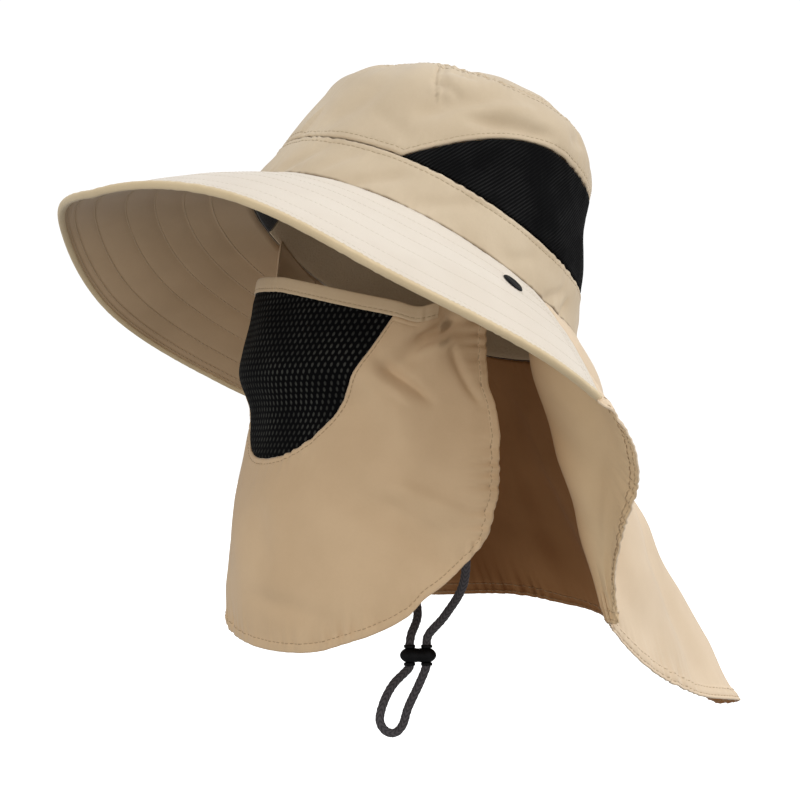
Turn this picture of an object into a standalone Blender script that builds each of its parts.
"""Wide-brim flap sun hat with a hanging face mask, a neck flap and a chin cord.

Metres, +Z up. The hat faces -Y, and the wearer's left is +X. The origin is the
centre of the head opening. The hat sits tipped back on the head, so the crown
and the brim are drawn upright and hang from one tipped empty. The mask, the
neck flap and the cord hang straight down from it.
"""

import math

import bmesh
import bpy

# Head opening and the way that the hat sits
HEAD_TIP = math.radians(26.0)
OPENING_HALF_LENGTH = 0.1015
OPENING_HALF_WIDTH = 0.0867
SEAM_FRONT_LIFT = 0.0024
SEAM_SIDE_SAG = 0.0075

# Crown
CROWN_HEIGHT = 0.1136
CROWN_BACK_RISE = 0.013
FRONT_LEAN = math.radians(16.0)
SIDE_LEAN = math.radians(9.0)
BACK_LEAN = math.radians(22.0)
SHOULDER_RISE = 0.031
SHOULDER_RUN = 0.050
TIP_SEAM_TURN = math.radians(48.0)
TIP_DOME = 0.0015
TIP_MIDDLE_BACK = -0.010
CROWN_WALL = 0.0014
BAND_START = 0.0022
BAND_HEIGHT = 0.028
SWEATBAND_START = 0.0012
SWEATBAND_HEIGHT = 0.030
SWEATBAND_WALL = 0.0014
SWEATBAND_SPLIT = math.radians(55.0)
SWEATBAND_END_GAP = math.radians(0.4)
SEAM_GAP = 0.0005

# Mesh panel across the back of the crown
MESH_START_ANGLE = math.radians(48.0)
MESH_FULL_ANGLE = math.radians(104.0)
MESH_HEIGHT = 0.050

# Soft dents pressed into the crown: angle and height of the middle, how far
# they reach both ways, how deep they go
CROWN_DENTS = (
    {"angle": 72.0, "height": 0.094, "reach": 24.0, "tall": 0.016, "depth": 0.0035},
    {"angle": 22.0, "height": 0.084, "reach": 18.0, "tall": 0.018, "depth": 0.0025},
    {"angle": -40.0, "height": 0.088, "reach": 22.0, "tall": 0.018, "depth": 0.0030},
    {"angle": 128.0, "height": 0.100, "reach": 20.0, "tall": 0.014, "depth": 0.0025},
)

# Brim
BRIM_END_ANGLE = math.radians(104.0)
BRIM_WALL = 0.0022
BRIM_START = -0.0012
BINDING_WIDTH = 0.0038
BINDING_WALL = 0.0030
BRIM_ROWS = (
    {"angle": 0.0, "width": 0.1016, "droop": 35.0},
    {"angle": 30.0, "width": 0.1008, "droop": 32.0},
    {"angle": 60.0, "width": 0.1050, "droop": 36.5},
    {"angle": 90.0, "width": 0.0975, "droop": 36.5},
    {"angle": 105.0, "width": 0.0900, "droop": 38.0},
)
BRIM_ARCH = 0.0030

# Snap caps on top of the brim
CAP_ANGLE = math.radians(88.0)
CAP_REACH = 0.027
CAP_RADIUS = 0.0056
CAP_HEIGHT = 0.0018
CAP_EDGE = 0.0006
CAP_LIFT = 0.0004

# Neck flap: each rib runs from its top at the crown seam, or along the end of
# the brim, to its foot at the hem
FLAP_WALL = 0.0014
FLAP_DROP = 0.0034
FLAP_TUCK = 0.0009
FLAP_TUCK_TURN = math.radians(8.0)
FLAP_BOW_RISE = 0.8
FLAP_RIBS = (
    {"rib": 0, "top": 104.0, "out": 1.00, "side": 0.101, "back": 0.061, "down": 0.184, "bow": 0.0190},
    {"rib": 1, "top": 104.0, "out": 0.55, "side": 0.100, "back": 0.060, "down": 0.185, "bow": 0.0080},
    {"rib": 2, "top": 97.0, "out": 0.00, "side": 0.097, "back": 0.058, "down": 0.186, "bow": -0.0030},
    {"rib": 3, "top": 122.0, "out": 0.00, "side": 0.093, "back": 0.088, "down": 0.211, "bow": 0.0060},
    {"rib": 4, "top": 140.0, "out": 0.00, "side": 0.074, "back": 0.136, "down": 0.227, "bow": 0.0020},
    {"rib": 5, "top": 158.0, "out": 0.00, "side": 0.046, "back": 0.190, "down": 0.236, "bow": -0.0085},
    {"rib": 6, "top": 180.0, "out": 0.00, "side": 0.004, "back": 0.196, "down": 0.236, "bow": -0.0060},
    {"rib": 7, "top": 202.0, "out": 0.00, "side": -0.046, "back": 0.188, "down": 0.207, "bow": -0.0020},
    {"rib": 8, "top": 220.0, "out": 0.00, "side": -0.076, "back": 0.170, "down": 0.189, "bow": 0.0060},
    {"rib": 9, "top": 238.0, "out": 0.00, "side": -0.094, "back": 0.128, "down": 0.181, "bow": 0.0060},
    {"rib": 10, "top": 263.0, "out": 0.00, "side": -0.097, "back": 0.080, "down": 0.180, "bow": -0.0030},
    {"rib": 11, "top": 256.0, "out": 0.55, "side": -0.102, "back": 0.078, "down": 0.179, "bow": 0.0080},
    {"rib": 12, "top": 256.0, "out": 1.00, "side": -0.106, "back": 0.077, "down": 0.178, "bow": 0.0160},
)

# Face mask: a sheet round the face, measured by the angle from straight ahead
MASK_WALL = 0.0014
MASK_HEM_HEIGHT = 0.0065
MASK_HEM_WALL = 0.0022
MASK_MESH_WALL = 0.0012
MASK_MESH_HALF_ANGLE = math.radians(52.0)
MASK_MESH_DROP = 0.0995
MASK_MESH_ROUNDING = 2.4
MASK_HALF_ANGLE = 88.0
MASK_EDGE_START = 60.0
MASK_HEM_ANGLES = (-56.0, 68.0)
MASK_RISE_FAR = 4.0
MASK_RISE_NEAR = 8.0
MASK_SEAT_GAP = 0.0006
MASK_EDGE = (
    {"height": 0.000, "angle": 84.0},
    {"height": -0.040, "angle": 83.5},
    {"height": -0.063, "angle": 84.0},
    {"height": -0.072, "angle": 86.2},
    {"height": -0.090, "angle": 88.0},
    {"height": -0.116, "angle": 87.5},
    {"height": -0.140, "angle": 84.0},
)
MASK_TOP = (
    {"angle": -56.0, "height": -0.0120},
    {"angle": -48.0, "height": -0.0110},
    {"angle": -32.0, "height": -0.0050},
    {"angle": 0.0, "height": -0.0060},
    {"angle": 15.0, "height": -0.0095},
    {"angle": 39.0, "height": -0.0170},
    {"angle": 52.0, "height": -0.0210},
    {"angle": 60.0, "height": -0.0240},
    {"angle": 68.0, "height": -0.0215},
)
MASK_FOOT = (
    {"angle": -88.0, "height": -0.1330},
    {"angle": -74.0, "height": -0.1560},
    {"angle": -60.0, "height": -0.1740},
    {"angle": -45.0, "height": -0.1800},
    {"angle": -28.0, "height": -0.1850},
    {"angle": -6.0, "height": -0.1925},
    {"angle": 12.0, "height": -0.1968},
    {"angle": 30.0, "height": -0.1970},
    {"angle": 41.0, "height": -0.1924},
    {"angle": 52.0, "height": -0.1862},
    {"angle": 61.0, "height": -0.1780},
    {"angle": 66.0, "height": -0.1703},
    {"angle": 72.0, "height": -0.1640},
    {"angle": 80.0, "height": -0.1535},
    {"angle": 88.0, "height": -0.1400},
)
MASK_FRONT = (
    {"height": 0.025, "ahead": -0.0215, "beside": -0.0042},
    {"height": 0.000, "ahead": -0.0200, "beside": -0.0028},
    {"height": -0.011, "ahead": -0.0180, "beside": -0.0024},
    {"height": -0.042, "ahead": -0.0095, "beside": -0.0012},
    {"height": -0.056, "ahead": -0.0070, "beside": -0.0009},
    {"height": -0.075, "ahead": -0.0145, "beside": -0.0009},
    {"height": -0.093, "ahead": -0.0125, "beside": -0.0009},
    {"height": -0.123, "ahead": -0.0045, "beside": -0.0009},
    {"height": -0.166, "ahead": 0.0012, "beside": -0.0012},
    {"height": -0.198, "ahead": -0.0015, "beside": -0.0017},
)
MASK_FOLDS = (
    {"angle": 62.0, "height": -0.044, "reach": 22.5, "tall": 0.012, "slope": 0.9, "depth": -0.0040},
    {"angle": 48.0, "height": -0.070, "reach": 15.0, "tall": 0.020, "slope": -1.1, "depth": 0.0030},
    {"angle": 58.0, "height": -0.135, "reach": 35.0, "tall": 0.012, "slope": -0.6, "depth": -0.0030},
)

# Chin cord and its toggle. A route's points are a share of the opening's half
# width to the side, then metres back and up
CORD_RADIUS = 0.0022
CORD_STEP = 0.0095
LOOP_STEP = 0.0046
ROUTE_CUTS = 24
TOGGLE_CENTRE = (0.0, 0.0038, -0.2054)
TOGGLE_HALF_LENGTH = 0.0098
TOGGLE_HALF_HEIGHT = 0.0052
TOGGLE_WAIST = 0.30
TOGGLE_WAIST_REACH = 0.55
TOGGLE_TURN = math.radians(-32.0)
CORD_LEFT_ROUTE = (
    (0.9158, -0.0125, -0.0130),
    (0.9146, -0.0130, -0.0240),
    (0.8997, -0.0155, -0.0430),
    (0.8304, -0.0160, -0.0650),
    (0.6920, -0.0060, -0.1050),
    (0.5075, 0.0050, -0.1380),
    (0.3345, 0.0140, -0.1650),
    (0.1615, 0.0125, -0.1830),
    (0.0461, 0.0082, -0.1940),
    (0.0288, 0.0076, -0.2003),
)
CORD_RIGHT_ROUTE = (
    (-0.9158, -0.0125, -0.0130),
    (-0.9146, -0.0130, -0.0240),
    (-0.8997, -0.0155, -0.0430),
    (-0.8304, -0.0160, -0.0650),
    (-0.6920, -0.0060, -0.1050),
    (-0.4960, 0.0060, -0.1380),
    (-0.2768, 0.0130, -0.1640),
    (-0.1153, 0.0100, -0.1830),
    (-0.0461, 0.0020, -0.1945),
    (-0.0288, 0.0000, -0.2003),
)
CORD_LOOP_ROUTE = (
    (-0.0288, 0.0000, -0.2114),
    (-0.0231, -0.0036, -0.2146),
    (-0.0115, -0.0115, -0.2205),
    (0.0000, -0.0178, -0.2290),
    (0.0000, -0.0205, -0.2385),
    (0.0000, -0.0170, -0.2445),
    (0.0000, -0.0110, -0.2460),
    (0.0000, -0.0060, -0.2420),
    (0.0000, -0.0025, -0.2330),
    (0.0115, 0.0040, -0.2205),
    (0.0288, 0.0074, -0.2114),
)

# How finely the cloth is cut
AROUND = 60
BRIM_AROUND = 48
BRIM_ROWS_ACROSS = 5
UPPER_ROWS = 5
TIP_ROWS = 4
MESH_ROWS = 4
FLAP_COLUMNS = 48
FLAP_ROWS = 9
MASK_COLUMNS = 44
MASK_ROWS = 8
MASK_MESH_COLUMNS = 26
MASK_MESH_ROWS = 5
MASK_HEM_COLUMNS = 31

COLOURS = {
    "khaki": {"colour": (0.60, 0.48, 0.33), "roughness": 0.85},
    "khaki_light": {"colour": (0.72, 0.62, 0.48), "roughness": 0.80},
    "khaki_shade": {"colour": (0.47, 0.34, 0.20), "roughness": 0.88},
    "black_mesh": {"colour": (0.012, 0.012, 0.014), "roughness": 0.75},
    "black_plastic": {"colour": (0.010, 0.010, 0.011), "roughness": 0.35},
    "cord": {"colour": (0.035, 0.028, 0.030), "roughness": 0.80},
}


def clear_scene():
    for item in list(bpy.data.objects):
        bpy.data.objects.remove(item, do_unlink=True)


def make_material(name):
    values = COLOURS[name]
    material = bpy.data.materials.new(name)
    material.use_nodes = True
    shader = material.node_tree.nodes["Principled BSDF"]
    shader.inputs["Base Color"].default_value = (*values["colour"], 1.0)
    shader.inputs["Roughness"].default_value = values["roughness"]
    shader.inputs["Metallic"].default_value = 0.0
    return material


def make_collection():
    collection = bpy.data.collections.new("flap_sun_hat")
    bpy.context.scene.collection.children.link(collection)
    return collection


def make_tip_empty(collection):
    empty = bpy.data.objects.new("hat_tip", None)
    empty.rotation_euler = (-HEAD_TIP, 0.0, 0.0)
    collection.objects.link(empty)
    return empty


def mix(first, second, share):
    return first + (second - first) * share


def mix_points(first, second, share):
    return tuple(mix(a, b, share) for a, b in zip(first, second))


def smooth_share(share):
    share = min(max(share, 0.0), 1.0)
    return share * share * (3.0 - 2.0 * share)


def read_rows(rows, key, value, at):
    """Read one column of a table as a smooth curve through its rows."""
    places = [row[key] for row in rows]
    values = [row[value] for row in rows]
    if places[0] > places[-1]:
        places.reverse()
        values.reverse()
    at = min(max(at, places[0]), places[-1])
    last = len(places) - 2
    index = 0
    while index < last and at > places[index + 1]:
        index += 1
    slopes = []
    for number in (index, index + 1):
        before = max(number - 1, 0)
        after = min(number + 1, len(places) - 1)
        slopes.append((values[after] - values[before]) / (places[after] - places[before]))
    span = places[index + 1] - places[index]
    share = (at - places[index]) / span
    square = share * share
    cube = square * share
    start = (2.0 * cube - 3.0 * square + 1.0) * values[index]
    start_slope = (cube - 2.0 * square + share) * span * slopes[0]
    end = (3.0 * square - 2.0 * cube) * values[index + 1]
    end_slope = (cube - square) * span * slopes[1]
    return start + start_slope + end + end_slope


def tipped(point):
    """Turn a point of the upright hat to where the tipped hat has it."""
    side, back, up = point
    sine = math.sin(HEAD_TIP)
    cosine = math.cos(HEAD_TIP)
    return (side, back * cosine + up * sine, up * cosine - back * sine)


def bump_share(offset, reach):
    """A rounded bump that is 1 in the middle and fades to 0 past its reach."""
    return math.exp(-2.0 * (offset / reach) ** 2)


def seam_point(angle):
    side = OPENING_HALF_WIDTH * math.sin(angle)
    back = -OPENING_HALF_LENGTH * math.cos(angle)
    behind = (1.0 - math.cos(angle)) / 2.0
    sag = SEAM_SIDE_SAG * math.sin(angle) ** 2 * behind
    return (side, back, SEAM_FRONT_LIFT * math.cos(angle) - sag)


def seam_outward(angle):
    side = math.sin(angle) / OPENING_HALF_WIDTH
    back = -math.cos(angle) / OPENING_HALF_LENGTH
    length = math.hypot(side, back)
    return (side / length, back / length)


def crown_lean(angle):
    ahead = max(math.cos(angle), 0.0) ** 2
    behind = max(-math.cos(angle), 0.0) ** 2
    return SIDE_LEAN + (FRONT_LEAN - SIDE_LEAN) * ahead + (BACK_LEAN - SIDE_LEAN) * behind


def crown_height(angle):
    return CROWN_HEIGHT - CROWN_BACK_RISE * math.cos(angle)


def crown_wall_height(angle):
    return crown_height(angle) - SHOULDER_RISE


def tip_seam_height(angle):
    return crown_wall_height(angle) + SHOULDER_RISE * math.sin(TIP_SEAM_TURN)


def crown_dent(angle, height):
    degrees = math.degrees(angle)
    depth = 0.0
    for dent in CROWN_DENTS:
        turn = (degrees - dent["angle"] + 180.0) % 360.0 - 180.0
        across = bump_share(turn, dent["reach"])
        depth += dent["depth"] * across * bump_share(height - dent["height"], dent["tall"])
    return depth


def crown_point(angle, height, inset=0.0):
    """A point of the crown by its angle from the front and height up its wall."""
    wall = crown_wall_height(angle)
    lean = math.tan(crown_lean(angle))
    pulled_in = lean * height + inset + crown_dent(angle, height)
    if height > wall:
        lift = min((height - wall) / SHOULDER_RISE, 1.0)
        pulled_in += SHOULDER_RUN * (1.0 - math.sqrt(1.0 - lift * lift))
    side, back, up = seam_point(angle)
    out_side, out_back = seam_outward(angle)
    return (side - out_side * pulled_in, back - out_back * pulled_in, up + height)


def mesh_top_height(angle):
    turn = abs((angle + math.pi) % math.tau - math.pi)
    share = (turn - MESH_START_ANGLE) / (MESH_FULL_ANGLE - MESH_START_ANGLE)
    share = min(max(share, 0.0), 1.0)
    return BAND_HEIGHT + MESH_HEIGHT * math.sin(share * math.pi / 2.0)


def brim_point(angle, reach):
    """A point of the brim by its angle and its distance from the crown seam."""
    degrees = abs(math.degrees(angle))
    width = read_rows(BRIM_ROWS, "angle", "width", degrees)
    droop = math.radians(read_rows(BRIM_ROWS, "angle", "droop", degrees))
    side, back, up = seam_point(angle)
    out_side, out_back = seam_outward(angle)
    flat = reach * math.cos(droop)
    arch = BRIM_ARCH * math.sin(math.pi * min(reach / width, 1.0))
    drop = reach * math.sin(droop) - arch
    return (side + out_side * flat, back + out_back * flat, up - drop)


def brim_width(angle):
    return read_rows(BRIM_ROWS, "angle", "width", abs(math.degrees(angle)))


def cloth(name, material, collection, columns, rows, place, wall, offset, closed=False):
    """Lay a grid over a surface given by place(across, down) and give it a wall."""
    mesh = bpy.data.meshes.new(name)
    shape = bmesh.new()
    bmesh.ops.create_grid(shape, x_segments=columns, y_segments=rows, size=0.5)
    for vertex in shape.verts:
        across = min(max(vertex.co.x + 0.5, 0.0), 1.0)
        down = min(max(vertex.co.y + 0.5, 0.0), 1.0)
        if closed and across > 1.0 - 0.5 / columns:
            across = 0.0
        vertex.co = place(across, down)
    bmesh.ops.remove_doubles(shape, verts=shape.verts, dist=0.00002)
    bmesh.ops.recalc_face_normals(shape, faces=shape.faces)
    shape.to_mesh(mesh)
    shape.free()
    mesh.materials.append(material)
    mesh.shade_smooth()
    item = bpy.data.objects.new(name, mesh)
    collection.objects.link(item)
    solidify = item.modifiers.new("wall", "SOLIDIFY")
    solidify.thickness = wall
    solidify.offset = offset
    return item


def make_crown_band(material, collection):
    top = BAND_HEIGHT - SEAM_GAP / 2.0

    def place(across, down):
        return crown_point(math.tau * across, mix(BAND_START, top, down))

    return cloth("crown_band", material, collection, AROUND, 1, place, CROWN_WALL, -1.0, True)


def make_sweatband(name, middle, half_turn, material, collection):
    inset = CROWN_WALL + SEAM_GAP
    columns = round(AROUND * half_turn / math.pi)

    def place(across, down):
        angle = middle + mix(-half_turn, half_turn, across)
        height = mix(SWEATBAND_START, SWEATBAND_HEIGHT, down)
        return crown_point(angle, height, inset)

    return cloth(name, material, collection, columns, 1, place, SWEATBAND_WALL, -1.0)


def make_mesh_panel(material, collection):
    turn = math.pi - MESH_START_ANGLE
    columns = round(AROUND * turn / math.pi)

    def place(across, down):
        angle = math.pi + mix(-turn, turn, across)
        foot = BAND_HEIGHT + SEAM_GAP / 2.0
        head = max(mesh_top_height(angle) - SEAM_GAP / 2.0, foot)
        return crown_point(angle, mix(foot, head, down))

    return cloth("crown_mesh_panel", material, collection, columns, MESH_ROWS, place, CROWN_WALL, -1.0)


def make_upper_panel(material, collection):
    def place(across, down):
        angle = math.tau * across
        foot = mesh_top_height(angle) + SEAM_GAP
        head = tip_seam_height(angle) - SEAM_GAP / 2.0
        return crown_point(angle, mix(foot, head, down))

    return cloth(
        "crown_upper_panel", material, collection, AROUND, UPPER_ROWS, place, CROWN_WALL, -1.0, True
    )


def make_crown_tip(material, collection):
    def place(across, down):
        angle = math.tau * across
        seam = tip_seam_height(angle) + SEAM_GAP / 2.0
        top = crown_height(angle)
        rim_share = min(down / 0.5, 1.0)
        centre_share = max(down - 0.5, 0.0) / 0.5
        edge = crown_point(angle, mix(seam, top, rim_share))
        centre = (0.0, TIP_MIDDLE_BACK, CROWN_HEIGHT + TIP_DOME)
        return mix_points(edge, centre, centre_share)

    return cloth("crown_tip", material, collection, AROUND, TIP_ROWS, place, CROWN_WALL, -1.0, True)


def make_brim(material, collection):
    def place(across, down):
        angle = mix(-BRIM_END_ANGLE, BRIM_END_ANGLE, across)
        reach = mix(BRIM_START, brim_width(angle) - BINDING_WIDTH - SEAM_GAP, down)
        return brim_point(angle, reach)

    return cloth(
        "brim", material, collection, BRIM_AROUND, BRIM_ROWS_ACROSS, place, BRIM_WALL, 0.0
    )


def make_binding(material, collection):
    def place(across, down):
        angle = mix(-BRIM_END_ANGLE, BRIM_END_ANGLE, across)
        width = brim_width(angle)
        return brim_point(angle, mix(width - BINDING_WIDTH, width, down))

    return cloth("brim_binding", material, collection, BRIM_AROUND, 1, place, BINDING_WALL, 0.0)


def make_cap(name, angle, material, collection):
    mesh = bpy.data.meshes.new(name)
    shape = bmesh.new()
    bmesh.ops.create_cone(
        shape, cap_ends=True, segments=24, radius1=CAP_RADIUS, radius2=CAP_RADIUS, depth=CAP_HEIGHT
    )
    shape.to_mesh(mesh)
    shape.free()
    mesh.materials.append(material)
    item = bpy.data.objects.new(name, mesh)
    collection.objects.link(item)
    here = brim_point(angle, CAP_REACH)
    further = brim_point(angle, CAP_REACH + CAP_RADIUS)
    flat = math.hypot(further[0] - here[0], further[1] - here[1])
    droop = math.atan2(here[2] - further[2], flat)
    out_side, out_back = seam_outward(angle)
    lift = BRIM_WALL / 2.0 + CAP_LIFT + CAP_HEIGHT / 2.0
    item.location = (
        here[0] + out_side * lift * math.sin(droop),
        here[1] + out_back * lift * math.sin(droop),
        here[2] + lift * math.cos(droop),
    )
    item.rotation_euler = (0.0, droop, math.atan2(out_back, out_side))
    bevel = item.modifiers.new("edge", "BEVEL")
    bevel.width = CAP_EDGE
    bevel.segments = 2
    bevel.limit_method = "ANGLE"
    return item


def flap_top(angle, out):
    """Top edge of the neck flap: under the brim's end, then tucked into the crown seam."""
    angle = (angle + math.pi) % math.tau - math.pi
    share = smooth_share((abs(angle) - BRIM_END_ANGLE) / FLAP_TUCK_TURN)
    reach = mix(BRIM_START, brim_width(angle), max(out, 0.0))
    side, back, up = tipped(brim_point(angle, reach))
    tucked = tipped(crown_point(angle, FLAP_TUCK, CROWN_WALL / 2.0))
    return mix_points((side, back, up - FLAP_DROP), tucked, share)


def flap_point(across, down):
    """A point of the neck flap, between its top edge and its hem."""
    place = across * (len(FLAP_RIBS) - 1)
    rib = {key: read_rows(FLAP_RIBS, "rib", key, place) for key in FLAP_RIBS[0]}
    top = flap_top(math.radians(rib["top"]), rib["out"])
    side, back, up = mix_points(top, (rib["side"], rib["back"], -rib["down"]), down)
    out = math.hypot(rib["side"], rib["back"])
    push = rib["bow"] * math.sin(math.pi * down ** FLAP_BOW_RISE)
    return (side + rib["side"] / out * push, back + rib["back"] / out * push, up)


def make_neck_flap(material, collection):
    return cloth(
        "neck_flap", material, collection, FLAP_COLUMNS, FLAP_ROWS, flap_point, FLAP_WALL, 0.0
    )


def mask_surface(degrees, height):
    """A point of the sheet that the mask follows round the face."""
    edge = read_rows(MASK_EDGE, "height", "angle", height)
    beyond = max(abs(degrees) - MASK_EDGE_START, 0.0) / (MASK_HALF_ANGLE - MASK_EDGE_START)
    angle = math.radians(degrees - math.copysign(beyond * (MASK_HALF_ANGLE - edge), degrees))
    reach = OPENING_HALF_LENGTH + read_rows(MASK_FRONT, "height", "ahead", height)
    side = OPENING_HALF_WIDTH + read_rows(MASK_FRONT, "height", "beside", height)
    for fold in MASK_FOLDS:
        middle = fold["height"] + fold["slope"] * math.radians(degrees - fold["angle"]) * side
        across = bump_share(degrees - fold["angle"], fold["reach"])
        push = fold["depth"] * across * bump_share(height - middle, fold["tall"])
        reach += push
        side += push
    return (side * math.sin(angle), -reach * math.cos(angle), height)


def sweatband_foot(angle):
    """Height of the sweatband's lower edge in the tipped hat."""
    inset = CROWN_WALL + SEAM_GAP + SWEATBAND_WALL / 2.0
    return tipped(crown_point(angle, SWEATBAND_START, inset))[2]


def mask_top(degrees):
    """Top edge: the hem in front, then up to the sweatband that carries the mask."""
    hem = read_rows(MASK_TOP, "angle", "height", degrees)
    start = MASK_HEM_ANGLES[1] if degrees > 0.0 else -MASK_HEM_ANGLES[0]
    turn = MASK_RISE_NEAR if degrees > 0.0 else MASK_RISE_FAR
    share = smooth_share((abs(degrees) - start) / turn)
    return mix(hem, sweatband_foot(math.radians(degrees)) - MASK_SEAT_GAP, share)


def mask_foot(degrees):
    return read_rows(MASK_FOOT, "angle", "height", degrees)


def mesh_foot(degrees):
    """Lower edge of the black breathing panel, or the hem beyond its corners."""
    hem = mask_top(degrees) - MASK_HEM_HEIGHT
    turn = abs(math.radians(degrees)) / MASK_MESH_HALF_ANGLE
    if turn >= 1.0:
        return hem
    return mix(hem, -MASK_MESH_DROP, 1.0 - turn ** MASK_MESH_ROUNDING)


def make_face_mask(material, collection):
    first_hem, last_hem = MASK_HEM_ANGLES

    def place(across, down):
        degrees = mix(-MASK_HALF_ANGLE, MASK_HALF_ANGLE, across)
        if first_hem - 0.1 <= degrees <= last_hem + 0.1:
            head = mesh_foot(degrees) - 2.0 * SEAM_GAP
        else:
            head = mask_top(degrees)
        return mask_surface(degrees, mix(head, mask_foot(degrees), down))

    return cloth(
        "face_mask", material, collection, MASK_COLUMNS, MASK_ROWS, place, MASK_WALL, 0.0
    )


def make_mask_mesh(material, collection):
    reach = math.degrees(MASK_MESH_HALF_ANGLE)

    def place(across, down):
        degrees = mix(-reach, reach, across)
        head = mask_top(degrees) - MASK_HEM_HEIGHT - SEAM_GAP
        foot = min(mesh_foot(degrees), head)
        return mask_surface(degrees, mix(head, foot, down))

    return cloth(
        "mask_mesh", material, collection, MASK_MESH_COLUMNS, MASK_MESH_ROWS, place,
        MASK_MESH_WALL, 0.0
    )


def make_mask_hem(material, collection):
    first, last = MASK_HEM_ANGLES

    def place(across, down):
        degrees = mix(first, last, across)
        head = mask_top(degrees)
        return mask_surface(degrees, mix(head, head - MASK_HEM_HEIGHT, down))

    return cloth(
        "mask_hem", material, collection, MASK_HEM_COLUMNS, 1, place, MASK_HEM_WALL, 0.0
    )


def smooth_route(route, step):
    """Even points along a smooth curve through the points of a route."""
    fine = []
    last = len(route) - 1
    for index in range(last):
        before = route[max(index - 1, 0)]
        start = route[index]
        end = route[index + 1]
        after = route[min(index + 2, last)]
        for number in range(ROUTE_CUTS):
            share = number / ROUTE_CUTS
            square = share * share
            cube = square * share
            point = []
            for axis in range(3):
                bend = 2.0 * before[axis] - 5.0 * start[axis] + 4.0 * end[axis] - after[axis]
                twist = 3.0 * start[axis] - before[axis] - 3.0 * end[axis] + after[axis]
                line = (end[axis] - before[axis]) * share
                point.append(start[axis] + 0.5 * (line + bend * square + twist * cube))
            fine.append(tuple(point))
    fine.append(route[-1])
    lengths = [0.0]
    for first, second in zip(fine, fine[1:]):
        lengths.append(lengths[-1] + math.dist(first, second))
    count = max(round(lengths[-1] / step), 2)
    points = []
    index = 0
    for number in range(count + 1):
        target = lengths[-1] * number / count
        while index < len(fine) - 2 and lengths[index + 1] < target:
            index += 1
        span = lengths[index + 1] - lengths[index]
        points.append(mix_points(fine[index], fine[index + 1], (target - lengths[index]) / span))
    return points


def make_cord(name, route, step, material, collection):
    spread = [(side * OPENING_HALF_WIDTH, back, up) for side, back, up in route]
    points = smooth_route(spread, step)
    curve = bpy.data.curves.new(name, "CURVE")
    curve.dimensions = "3D"
    curve.bevel_depth = CORD_RADIUS
    curve.bevel_resolution = 2
    curve.use_fill_caps = True
    spline = curve.splines.new("POLY")
    spline.points.add(len(points) - 1)
    for target, point in zip(spline.points, points):
        target.co = (*point, 1.0)
    curve.materials.append(material)
    item = bpy.data.objects.new(name, curve)
    collection.objects.link(item)
    return item


def make_toggle(material, collection):
    mesh = bpy.data.meshes.new("cord_toggle")
    shape = bmesh.new()
    bmesh.ops.create_uvsphere(shape, u_segments=14, v_segments=10, radius=1.0)
    for vertex in shape.verts:
        waist = 1.0 - TOGGLE_WAIST * bump_share(vertex.co.z, TOGGLE_WAIST_REACH)
        vertex.co.x *= TOGGLE_HALF_HEIGHT * waist
        vertex.co.y *= TOGGLE_HALF_HEIGHT * waist
        vertex.co.z *= TOGGLE_HALF_LENGTH
    shape.to_mesh(mesh)
    shape.free()
    mesh.materials.append(material)
    mesh.shade_smooth()
    item = bpy.data.objects.new("cord_toggle", mesh)
    item.location = TOGGLE_CENTRE
    item.rotation_euler = (math.pi / 2.0, 0.0, TOGGLE_TURN)
    collection.objects.link(item)
    return item


def build_hat():
    clear_scene()
    collection = make_collection()
    tip = make_tip_empty(collection)
    khaki = make_material("khaki")
    light = make_material("khaki_light")
    shade = make_material("khaki_shade")
    black_mesh = make_material("black_mesh")
    plastic = make_material("black_plastic")
    cord = make_material("cord")
    front_turn = SWEATBAND_SPLIT - SWEATBAND_END_GAP
    back_turn = math.pi - SWEATBAND_SPLIT - SWEATBAND_END_GAP
    tipped_pieces = [
        make_crown_band(khaki, collection),
        make_sweatband("sweatband_front", 0.0, front_turn, black_mesh, collection),
        make_sweatband("sweatband_back", math.pi, back_turn, shade, collection),
        make_mesh_panel(black_mesh, collection),
        make_upper_panel(khaki, collection),
        make_crown_tip(khaki, collection),
        make_brim(light, collection),
        make_binding(light, collection),
        make_cap("snap_cap_left", CAP_ANGLE, plastic, collection),
        make_cap("snap_cap_right", -CAP_ANGLE, plastic, collection),
    ]
    for item in tipped_pieces:
        item.parent = tip
    make_neck_flap(khaki, collection)
    make_face_mask(shade, collection)
    make_mask_mesh(black_mesh, collection)
    make_mask_hem(shade, collection)
    make_cord("cord_left", CORD_LEFT_ROUTE, CORD_STEP, cord, collection)
    make_cord("cord_right", CORD_RIGHT_ROUTE, CORD_STEP, cord, collection)
    make_cord("cord_loop", CORD_LOOP_ROUTE, LOOP_STEP, cord, collection)
    make_toggle(plastic, collection)


build_hat()
